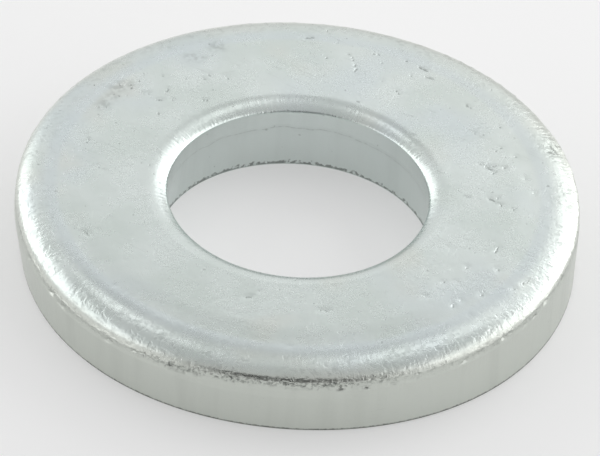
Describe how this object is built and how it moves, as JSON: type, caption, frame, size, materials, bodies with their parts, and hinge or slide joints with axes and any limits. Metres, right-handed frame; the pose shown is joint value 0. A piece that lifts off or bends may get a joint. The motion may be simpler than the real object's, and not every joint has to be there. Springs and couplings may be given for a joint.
{
  "type": "flat washer",
  "caption": "Heavy flat washer: a thick zinc-plated steel ring with rounded upper edges that spreads the load under a bolt head or nut.",
  "frame": {"origin": "centre of the hole, at the height of the lower face", "axes": "+Z along the hole, from the lower (burr) face to the upper (rolled) face; the washer is round, so X and Y are arbitrary"},
  "size_m": [0.045, 0.045, 0.0062],
  "materials": {
    "zinc_plate": "bright zinc plate on steel, satin, lightly tumbled and scratched"
  },
  "bodies": {
    "root": {"washer": "zinc_plate"}
  },
  "joints": []
}
